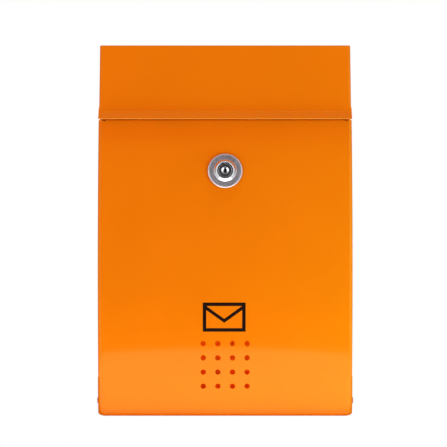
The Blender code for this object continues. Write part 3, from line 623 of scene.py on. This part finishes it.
def slope_row(height):
    share = (LID_TOP[1] - height) / (LID_TOP[1] - LID_CREASE[1])
    return (blend(LID_TOP[0], LID_CREASE[0], share), height, SLOPE_TILT)


def lid_rows():
    """Knuckle rows, top rows, front rows and lip rows, from the back of the lid to its lip."""
    reach, height = KNUCKLE_AXIS
    roll = []
    for step in range(37):
        turn = math.radians(340 - 250 * step / 36)
        roll.append((reach + KNUCKLE_RADIUS * math.cos(turn), height + KNUCKLE_RADIUS * math.sin(turn), turn))
    tangent = LID_BEND * math.tan((math.pi / 2 - SLOPE_TILT) / 2)
    centre = (LID_TOP[0] - tangent, HEIGHT - LID_BEND)
    bend = []
    for step in range(FOLD_STEPS + 1):
        turn = blend(math.pi / 2, SLOPE_TILT, step / FOLD_STEPS)
        bend.append((centre[0] + LID_BEND * math.cos(turn), centre[1] + LID_BEND * math.sin(turn), turn))
    top = [(PANEL_START, HEIGHT, math.pi / 2), *bend]
    cheek_end = HEIGHT - CHEEK_BELOW_TOP
    front = [slope_row(blend(bend[-1][1], cheek_end, share)) for share in (0.5, 1.0)]
    shift = LIP_BEND * math.tan((LIP_TILT - SLOPE_TILT) / 2)
    along = Vector((LID_TOP[0] - LID_CREASE[0], LID_TOP[1] - LID_CREASE[1])).normalized() * shift
    start = (LID_CREASE[0] + along.x, LID_CREASE[1] + along.y)
    front += [slope_row(blend(cheek_end, start[1], share)) for share in (0.2, 0.4, 0.6, 0.8)]
    hub = (start[0] + LIP_BEND * math.cos(SLOPE_TILT), start[1] + LIP_BEND * math.sin(SLOPE_TILT))
    lip = []
    for step in range(7):
        turn = blend(SLOPE_TILT, LIP_TILT, step / 6)
        lip.append((hub[0] - LIP_BEND * math.cos(turn), hub[1] - LIP_BEND * math.sin(turn), turn))
    lip.append((*LID_EDGE, LIP_TILT))
    return roll, top, front, lip


def knuckle_spans():
    edges = [INNER_HALF - PLAY, INNER_HALF * 2 / 3, INNER_HALF / 5]
    outer = (edges[1] + KNUCKLE_GAP / 2, edges[0])
    inner = (edges[2] + KNUCKLE_GAP / 2, edges[1] - KNUCKLE_GAP / 2)
    return outer, inner, edges[2] - KNUCKLE_GAP / 2


def make_lid():
    roll, top, front, lip = lid_rows()
    inner = knuckle_spans()[1]
    cheek_end = front[1][1]
    fold_end = front[-1][1]

    def spot(row, column):
        height = row[1]
        side, kind, value = column
        if kind == "span":
            return place(side * value, *set_back(row, 0.0))
        fold = eased((height - fold_end) / (cheek_end - fold_end))
        half = blend(DOOR_HALF, LID_HALF, fold)
        radius = blend(LID_BEND, LID_TOP_BEND, max(0.0, (row[2] - SLOPE_TILT) / (math.pi / 2 - SLOPE_TILT)))
        if row[2] > SLOPE_TILT and height < cheek_end:
            radius = LID_BEND
        turn = math.pi / 2 * value / FOLD_STEPS
        depth = radius * (1 - math.cos(turn)) * fold
        return place(side * (half - radius + radius * math.sin(turn)), *set_back(row, depth))

    sheet = Sheet(spot)
    bends = [(1, "bend", step) for step in range(FOLD_STEPS + 1)]
    spans = [(1, "span", inner[0]), (1, "span", inner[1])]
    sheet.patch([*top, *front, *lip], mirrored([*spans, *bends]))
    rolled = [*roll, top[0]]
    sheet.patch(rolled, spans)
    sheet.patch(rolled, [(-1, *span[1:]) for span in reversed(spans)])
    for side in (-1, 1):
        ends = [sheet.corner(row, (side, "bend", FOLD_STEPS)) for row in [*top, *front[:2]]]
        skirt = [set_back(front[1], CHEEK_DEPTH), (PANEL_START, HEIGHT - CHEEK_REAR_DROP)]
        low = [sheet.bm.verts.new(place(side * LID_HALF, *corner)) for corner in skirt]
        sheet.bm.faces.new([*ends, *low])
    bmesh.ops.recalc_face_normals(sheet.bm, faces=sheet.bm.faces)
    sheet.bm.faces.ensure_lookup_table()
    if sheet.bm.faces[0].normal.z < 0:
        bmesh.ops.reverse_faces(sheet.bm, faces=sheet.bm.faces)
    lid = new_piece("lid_skin", sheet.bm, ENAMEL, "lid", ["lid_panel"])
    thicken(lid)
    settle(lid)


# Lock: +Z of its frame points out of the door

def lock_frame():
    outward = joint_axis("lock_turn").normalized()
    across = Vector((1.0, 0.0, 0.0))
    up = outward.cross(across)
    turn = Matrix((across, up, outward)).transposed().to_4x4()
    return Matrix.Translation(joint_place("lock_turn")) @ turn


LOCK_FRAME = lock_frame()


def make_rosette():
    back = ROSETTE_BACK
    front = back + ROSETTE_THICK
    hole = BARREL_RADIUS + GAP
    bm = bmesh.new()
    profile = [(hole, front - ROSETTE_DISH), (HEAD_RADIUS + PLAY, front - ROSETTE_DISH),
               (ROSETTE_RADIUS - ROSETTE_RIM, front), (ROSETTE_RADIUS - ROSETTE_ROLL, front - ROSETTE_DISH),
               (ROSETTE_RADIUS, front - ROSETTE_DROP), (ROSETTE_RADIUS, back), (hole, back)]
    lathe(bm, rounded(profile, ROSETTE_SOFT), LOCK_FRAME, TURNED_STEPS)
    new_piece("rosette", bm, SATIN, "door", ["lock_rosette"])


def make_housing():
    seat = ROSETTE_BACK + ROSETTE_THICK + GAP
    rim = seat + HEAD_THICK
    bevel = HEAD_RADIUS - HEAD_BEVEL
    end = -BARREL_LENGTH - STOP_THICK - GAP
    bm = bmesh.new()
    profile = [(BORE_RADIUS, PLUG_FACE - GAP), (MOUTH_RADIUS, rim - MOUTH_EDGE),
               (MOUTH_RADIUS + MOUTH_EDGE, rim), (bevel, rim - HEAD_DROP),
               (HEAD_RADIUS - HEAD_LEAN, rim - HEAD_BEVEL), (HEAD_RADIUS, seat + MOUTH_EDGE),
               (HEAD_RADIUS, seat), (BARREL_RADIUS, seat), (BARREL_RADIUS, end), (BORE_RADIUS, end)]
    lathe(bm, [profile[0], *rounded(profile[1:], HEAD_SOFT)], LOCK_FRAME, TURNED_STEPS)
    housing = new_piece("housing", bm, CHROME, "door", ["lock_housing"])
    wedge = bmesh.new()
    half = (LOCK_TURN + STOP_TAB) / 2 + STOP_PLAY
    outline = [(0.0, 0.0)]
    for step in range(13):
        turn = STOP_MIDDLE - half + half * step / 6
        outline.append((HEAD_RADIUS * 1.5 * math.cos(turn), HEAD_RADIUS * 1.5 * math.sin(turn)))
    prism(wedge, outline, -BARREL_LENGTH - STOP_THICK * 3, -BARREL_LENGTH)
    cut(housing, [tool("stop_window", wedge)])


def prism(bm, outline, low, high):
    """A flat outline in the lock's frame, standing from low to high along the lock's axis."""
    base = [bm.verts.new(LOCK_FRAME @ Vector((x, y, low))) for x, y in outline]
    top = [bm.verts.new(LOCK_FRAME @ Vector((x, y, high))) for x, y in outline]
    bm.faces.new(list(reversed(base)))
    bm.faces.new(top)
    for index in range(len(outline)):
        follow = (index + 1) % len(outline)
        bm.faces.new((base[index], base[follow], top[follow], top[index]))


def block(bm, low, high):
    """A box in the lock's frame."""
    prism(bm, [(low[0], low[1]), (high[0], low[1]), (high[0], high[1]), (low[0], high[1])], low[2], high[2])


def make_plug():
    radius = BORE_RADIUS - GAP
    shoulder = -BARREL_LENGTH + GAP
    tail_end = -BARREL_LENGTH - GAP / 2 - STOP_THICK - GAP * 2 - CAM_THICK - GAP
    bm = bmesh.new()
    profile = [(0.0, FLOOR), (FLOOR_RADIUS, FLOOR), (CONE_RADIUS, PLUG_FACE), (radius - PLUG_EDGE, PLUG_FACE),
               (radius, PLUG_FACE - PLUG_DROP), (radius, shoulder), (TAIL_RADIUS, shoulder),
               (TAIL_RADIUS, tail_end), (0.0, tail_end)]
    lathe(bm, rounded(profile, PLUG_SOFT), LOCK_FRAME, TURNED_STEPS)
    plug = new_piece("plug", bm, CHROME, "lock_core", ["lock_plug"])
    keyway = bmesh.new()
    block(keyway, (-KEYWAY_WIDTH / 2, -KEYWAY_HEIGHT / 2, PLUG_FACE - KEYWAY_DEPTH),
          (KEYWAY_WIDTH / 2, KEYWAY_HEIGHT / 2, PLUG_FACE * 2))
    slots = bmesh.new()
    for index in range(WAFERS):
        level = -WAFER_START - WAFER_PITCH * index
        room = WAFER_THICK / 2 + GAP
        block(slots, (-WAFER_WIDTH / 2 - GAP, -radius * 1.2, level - room),
              (WAFER_WIDTH / 2 + GAP, radius * 1.2, level + room))
    flats = bmesh.new()
    far = TAIL_RADIUS * 1.3
    for side in (-1, 1):
        low, high = sorted((side * TAIL_FLAT, side * far))
        block(flats, (-far, low, tail_end * 1.2), (far, high, shoulder))
    tapped = bmesh.new()
    cylinder(tapped, LOCK_FRAME @ Vector((0, 0, tail_end * 1.2)),
             LOCK_FRAME @ Vector((0, 0, tail_end + SCREW_DEPTH + GAP)), SCREW_RADIUS + GAP)
    # The keyway's walls take the near-black material: painted shade in the recess
    cut(plug, [tool("keyway", keyway, SHADE), tool("wafer_slots", slots), tool("tail_flats", flats),
               tool("screw_hole", tapped)])


def glow_with_painted_shadow(made, strength, fade):
    """An emission glow that fades out near the door's foot: a painted contact shadow."""
    split = made.add("ShaderNodeSeparateXYZ", {"Vector": made.place()})
    level = made.add("ShaderNodeMapRange", {"Value": split.outputs["Y"], "From Min": DOOR_LOW.y + fade[0],
                                            "From Max": DOOR_LOW.y + fade[1], "To Min": strength,
                                            "To Max": 0.0})
    made.drive("Emission Strength", level.outputs["Result"])


def stage():
    """A pale round table under the box. It glows, though it is no lamp, to light the box from below, and its glow
    fades out near the door's foot as a painted contact shadow. The camera sees white there.
    """
    bm = bmesh.new()
    cylinder(bm, (0, TABLE_CENTRE, -TABLE_THICK), (0, TABLE_CENTRE, 0.0), TABLE_RADIUS, 200)
    mesh = bpy.data.meshes.new("table")
    bm.to_mesh(mesh)
    bm.free()
    table = bpy.data.objects.new("table", mesh)
    table.visible_camera = False
    bpy.context.scene.collection.objects.link(table)
    made = Nodes("table_white")
    cloud = made.noise(6.0, 2.0)
    made.drive("Base Color", made.tint(cloud.outputs["Fac"], (0.88, 0.88, 0.88), (0.92, 0.92, 0.92)))
    made.fix(Roughness=0.6, Emission_Color=TABLE_GLOW_COLOUR)
    glow_with_painted_shadow(made, TABLE_GLOW, TABLE_SHADOW_FADE)
    mesh.materials.append(made.material)

    # A painted reflection: a disc just over the table that glows and that only gloss rays see. It fades out near
    # the door's foot.
    painted_reflection = bpy.data.objects.new("table_painted_reflection", mesh.copy())
    painted_reflection.data.transform(Matrix.Translation((0, 0, TABLE_LIFT)))
    painted_reflection.visible_camera = False
    painted_reflection.visible_diffuse = False
    painted_reflection.visible_shadow = False
    bpy.context.scene.collection.objects.link(painted_reflection)
    made = Nodes("table_painted_reflection")
    made.fix(Roughness=0.6, Base_Color=(0.0, 0.0, 0.0, 1.0), Emission_Color=PAINTED_REFLECTION)
    glow_with_painted_shadow(made, 1.0, PAINTED_REFLECTION_FADE)
    painted_reflection.data.materials.clear()
    painted_reflection.data.materials.append(made.material)


def surround():
    """White behind whatever the camera sees. What lights the box and shows in its gloss is a pale tent,
    darker overhead and behind, with a dark opening in front for the camera."""
    world = bpy.data.worlds.new("tent")
    bpy.context.scene.world = world
    world.use_nodes = True
    tree = world.node_tree

    def maths(operation, first, second=0.0):
        node = tree.nodes.new("ShaderNodeMath")
        node.operation = operation
        for socket, value in zip(node.inputs, (first, second)):
            if isinstance(value, bpy.types.NodeSocket):
                tree.links.new(value, socket)
            else:
                socket.default_value = value
        return node.outputs[0]

    def ease(value, low, high):
        node = tree.nodes.new("ShaderNodeMapRange")
        node.interpolation_type = "SMOOTHSTEP"
        tree.links.new(value, node.inputs["Value"])
        node.inputs["From Min"].default_value = low
        node.inputs["From Max"].default_value = high
        return node.outputs["Result"]

    direction = tree.nodes.new("ShaderNodeTexCoord").outputs["Generated"]
    split = tree.nodes.new("ShaderNodeSeparateXYZ")
    tree.links.new(direction, split.inputs["Vector"])
    x, y, z = split.outputs
    aside = ease(maths("ABSOLUTE", x), *OPENING_SIDE)
    above = ease(maths("ABSOLUTE", maths("SUBTRACT", z, OPENING_RISE)), *OPENING_END)
    rear = ease(y, *REAR)
    wall = maths("MAXIMUM", maths("MAXIMUM", aside, above), rear)
    behind = maths("SUBTRACT", 1.0, maths("MULTIPLY", rear, 1.0 - TENT_REAR))
    wall = maths("MULTIPLY", wall, behind)
    ray = tree.nodes.new("ShaderNodeLightPath")
    path = ray.outputs["Is Camera Ray"]
    gloss = maths("SUBTRACT", 1.0, maths("MULTIPLY", maths("ABSOLUTE", z), GLOSS_FALL))
    gloss = maths("MULTIPLY", maths("MULTIPLY", gloss, GLOSS), behind)
    sides = maths("MAXIMUM", maths("MAXIMUM", ease(maths("ABSOLUTE", x), *GLOSS_SIDE), above), rear)
    gloss = maths("ADD", maths("MULTIPLY", gloss, sides), OPENING)
    gloss = maths("MULTIPLY", gloss, ray.outputs["Is Glossy Ray"])
    matt = maths("SUBTRACT", 1.0, ray.outputs["Is Glossy Ray"])
    tint = tree.nodes.new("ShaderNodeCombineColor")
    for socket, tent, fall in zip(tint.inputs, TENT, TENT_FALL):
        level = maths("MULTIPLY", maths("SUBTRACT", 1.0, maths("MULTIPLY", z, fall)), tent)
        level = maths("ADD", maths("MULTIPLY", maths("MAXIMUM", level, TENT_ROOF), wall), OPENING)
        level = maths("ADD", maths("MULTIPLY", level, matt), gloss)
        level = maths("MAXIMUM", maths("MULTIPLY", level, maths("SUBTRACT", 1.0, path)), path)
        tree.links.new(level, socket)
    tree.links.new(tint.outputs["Color"], tree.nodes["Background"].inputs["Color"])
    tree.nodes["Background"].inputs["Strength"].default_value = 1.0


def softbox(name, spot, aim, width, height, power, colour=(1.0, 1.0, 1.0)):
    """A soft rectangular light that no camera sees."""
    light = bpy.data.lights.new(name, "AREA")
    light.shape = "RECTANGLE"
    light.size = width
    light.size_y = height
    light.energy = power
    light.color = colour
    made = bpy.data.objects.new(name, light)
    made.visible_camera = False
    made.visible_glossy = False
    made.location = spot
    made.rotation_mode = "QUATERNION"
    made.rotation_quaternion = (Vector(spot) - Vector(aim)).to_track_quat("Z", "Y")
    bpy.context.scene.collection.objects.link(made)


def lights():
    """Lights near the sides, the right one the stronger, one overhead, and one behind the view holes."""
    for name, values in SOFTBOXES.items():
        softbox(name, *values)


def camera():
    data = bpy.data.cameras.new("camera")
    data.sensor_width = SENSOR * 1000
    data.lens = SENSOR * 1000 * CAMERA_DISTANCE / FIELD
    made = bpy.data.objects.new("camera", data)
    made.location = (CAMERA_SIDE, DOOR_LOW.y - CAMERA_DISTANCE, CAMERA_HEIGHT)
    made.rotation_euler = (math.pi / 2, 0.0, 0.0)
    bpy.context.scene.collection.objects.link(made)
    bpy.context.scene.camera = made


# The envelope on the door

def make_mark():
    """A plain envelope in black ink: a frame, and the flap's two edges."""
    bm = bmesh.new()
    half = (MARK_WIDTH / 2, MARK_HEIGHT / 2)
    inner = (half[0] - MARK_LINE, half[1] - MARK_LINE)
    outer_loop = [(-half[0], -half[1]), (half[0], -half[1]), (half[0], half[1]), (-half[0], half[1])]
    inner_loop = [(-inner[0], -inner[1]), (inner[0], -inner[1]), (inner[0], inner[1]), (-inner[0], inner[1])]
    shapes = []
    for index in range(4):
        follow = (index + 1) % 4
        shapes.append((outer_loop[index], outer_loop[follow], inner_loop[follow], inner_loop[index]))
    dip = -half[1] * MARK_DIP
    drop = MARK_LINE * 1.15
    for side in (-1, 1):
        shapes.append(((side * inner[0], inner[1]), (0.0, dip), (0.0, dip - drop),
                       (side * inner[0], inner[1] - drop)))
    for shape in shapes:
        ink(bm, shape)
    bmesh.ops.recalc_face_normals(bm, faces=bm.faces)
    new_piece("envelope_mark", bm, INK, "door")


def ink(bm, shape, steps=MARK_STEPS):
    """A four-cornered patch laid on the door's curve, as a thin solid."""
    def spot(across, along, lift):
        near = Vector(shape[0]).lerp(Vector(shape[1]), along)
        far = Vector(shape[3]).lerp(Vector(shape[2]), along)
        x, rise = near.lerp(far, across) + Vector(MARK_CENTRE)
        return place(x, *set_back(door_row(rise), -lift))

    rows = []
    for step in range(steps + 1):
        share = step / steps
        rows.append([bm.verts.new(spot(0, share, MARK_THICK)), bm.verts.new(spot(1, share, MARK_THICK)),
                     bm.verts.new(spot(1, share, -MARK_THICK)), bm.verts.new(spot(0, share, -MARK_THICK))])
    for low, high in zip(rows, rows[1:]):
        for index in range(4):
            follow = (index + 1) % 4
            bm.faces.new((low[index], low[follow], high[follow], high[index]))
    bm.faces.new(rows[0])
    bm.faces.new(list(reversed(rows[-1])))


# Fasteners, rubbers, and the folded sheets of the body

def side_frame(name):
    """Where a pin or rivet is: its frame's +Z points outwards through the side of the box."""
    low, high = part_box(name)
    middle = (low + high) / 2
    side = math.copysign(1.0, middle.x)
    turn = Vector((side, 0.0, 0.0)).to_track_quat("Z", "Y").to_matrix().to_4x4()
    return Matrix.Translation((0.0, middle.y, middle.z)) @ turn, max(abs(low.x), abs(high.x)), \
        min(abs(low.x), abs(high.x)), (high.z - low.z) / 2


def make_pin(name, material, shank, head):
    """A domed head outside, a shank, and a formed tail inside."""
    where, outer, inner, radius = side_frame(name)
    seat = outer - head
    tail = min(radius, shank * TAIL_SPREAD)
    profile = [(0.0, outer)]
    for step in range(1, 9):
        turn = math.pi / 2 * step / 8
        rise = head * math.cos(turn) * 0.9 + head * 0.1 * (step < 8)
        profile.append((radius * math.sin(turn), seat + rise))
    profile += [(radius, seat), (shank, seat), (shank, inner + head), (tail, inner + head),
                (tail * 0.9, inner), (0.0, inner)]
    bm = bmesh.new()
    lathe(bm, profile, where, SMALL_STEPS)
    new_piece(name + "_turned", bm, material, "cabinet", [name])


def make_bumper(name):
    low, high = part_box(name)
    middle = (low + high) / 2
    radius = (high.x - low.x) / 2
    turn = Vector((0.0, -1.0, 0.0)).to_track_quat("Z", "Y").to_matrix().to_4x4()
    where = Matrix.Translation((middle.x, high.y, middle.z)) @ turn
    tall = high.y - low.y
    profile = [(0.0, tall), (radius * 0.45, tall - 0.0002), (radius * 0.75, tall - 0.0007),
               (radius * 0.9, tall - 0.0014), (radius, tall * 0.3), (radius, 0.0002), (radius - 0.0002, 0.0),
               (0.0, 0.0)]
    bm = bmesh.new()
    lathe(bm, profile, where, SMALL_STEPS)
    new_piece(name + "_moulded", bm, RUBBER, "cabinet", [name])


def make_rod():
    low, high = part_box("lid_hinge_rod")
    radius = (high.z - low.z) / 2
    middle = (low + high) / 2
    turn = Vector((1.0, 0.0, 0.0)).to_track_quat("Z", "Y").to_matrix().to_4x4()
    bevel = radius * 0.3
    profile = [(0.0, high.x), (radius - bevel, high.x), (radius, high.x - bevel), (radius, low.x + bevel),
               (radius - bevel, low.x), (0.0, low.x)]
    bm = bmesh.new()
    lathe(bm, profile, Matrix.Translation((0.0, middle.y, middle.z)) @ turn, SMALL_STEPS)
    new_piece("hinge_rod", bm, ZINC, "cabinet", ["lid_hinge_rod"])


def make_softened(name, material, body, width):
    """A model piece with its edges softened."""
    bm = bmesh.new()
    bm.from_mesh(frame["nodes"][name].data)
    bmesh.ops.remove_doubles(bm, verts=bm.verts, dist=0.000002)
    bmesh.ops.dissolve_limit(bm, angle_limit=math.radians(1.0), verts=bm.verts, edges=bm.edges)
    made = new_piece(name + "_soft", bm, material, body, [name])
    soften(made, width, math.radians(40))
    settle(made)


def make_rest():
    finishes = {"enamel": ENAMEL, "chrome": CHROME, "satin_nickel": SATIN, "zinc": ZINC, "brass": BRASS,
                "aluminium": ALUMINIUM, "rubber": RUBBER}
    slots = {entry["node"]: entry["material_slot"] for entry in frame["record"]["subparts"]}
    done = {"door_panel", "lid_panel", "lock_rosette", "lock_housing", "lock_plug", "lid_hinge_rod"}
    for body, names in frame["record"]["behaviour"]["bodies"].items():
        for name in sorted(set(names) - done):
            finish = finishes[slots[name]]
            if "rivet" in name:
                make_pin(name, finish, RIVET_RADIUS, RIVET_HEAD)
            elif "door_pin" in name:
                make_pin(name, finish, PIN_RADIUS, PIN_HEAD)
            elif "bumper" in name:
                make_bumper(name)
            else:
                make_softened(name, finish, body, PAD_SOFT if "pad" in name else SOFT)
    make_rod()


bpy.context.scene.view_settings.view_transform = "Standard"
camera()
surround()
lights()
stage()
make_door()
make_lid()
make_rosette()
make_housing()
make_plug()
make_mark()
make_rest()
